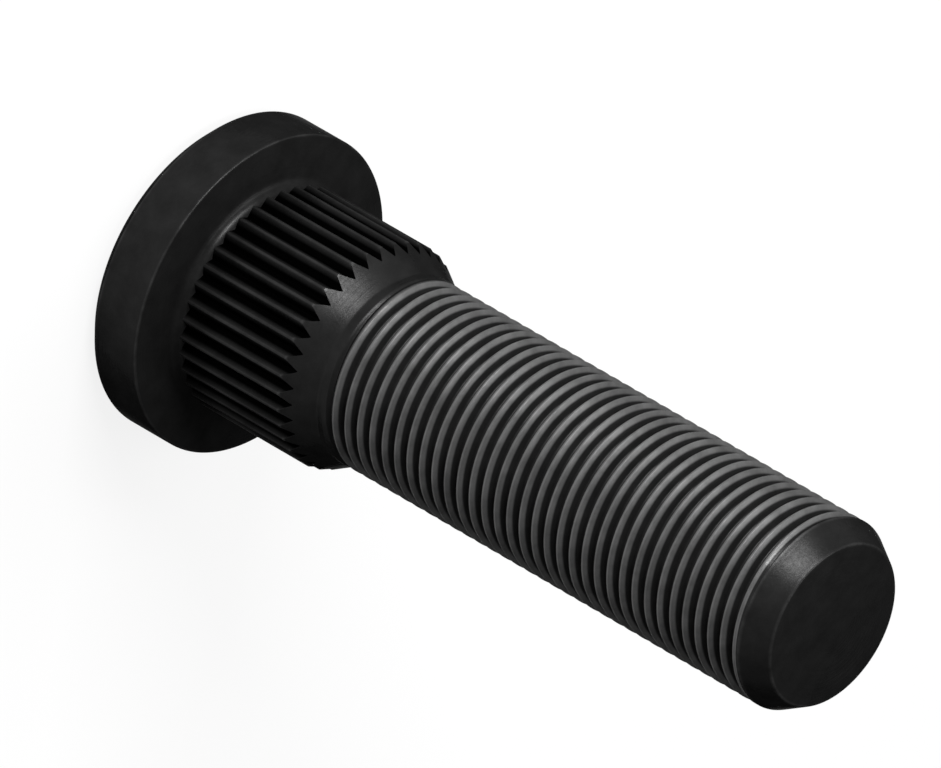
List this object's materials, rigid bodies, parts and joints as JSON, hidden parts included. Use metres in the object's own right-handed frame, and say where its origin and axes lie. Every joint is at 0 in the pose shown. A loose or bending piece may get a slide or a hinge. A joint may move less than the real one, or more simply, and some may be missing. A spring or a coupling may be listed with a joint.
{
  "type": "wheel stud",
  "caption": "Press-in wheel stud: flat round head, straight-knurled neck, tapered shoulder and a long threaded shank with a coned tip.",
  "frame": {"origin": "centre of the head's back face, on which the stud stands", "axes": "+Z along the stud's axis, from the head to the threaded tip"},
  "size_m": [0.02, 0.02, 0.05],
  "materials": {
    "black_steel": "black oxide on rolled steel, satin"
  },
  "bodies": {
    "root": {"wheel_stud": "black_steel"}
  },
  "joints": []
}
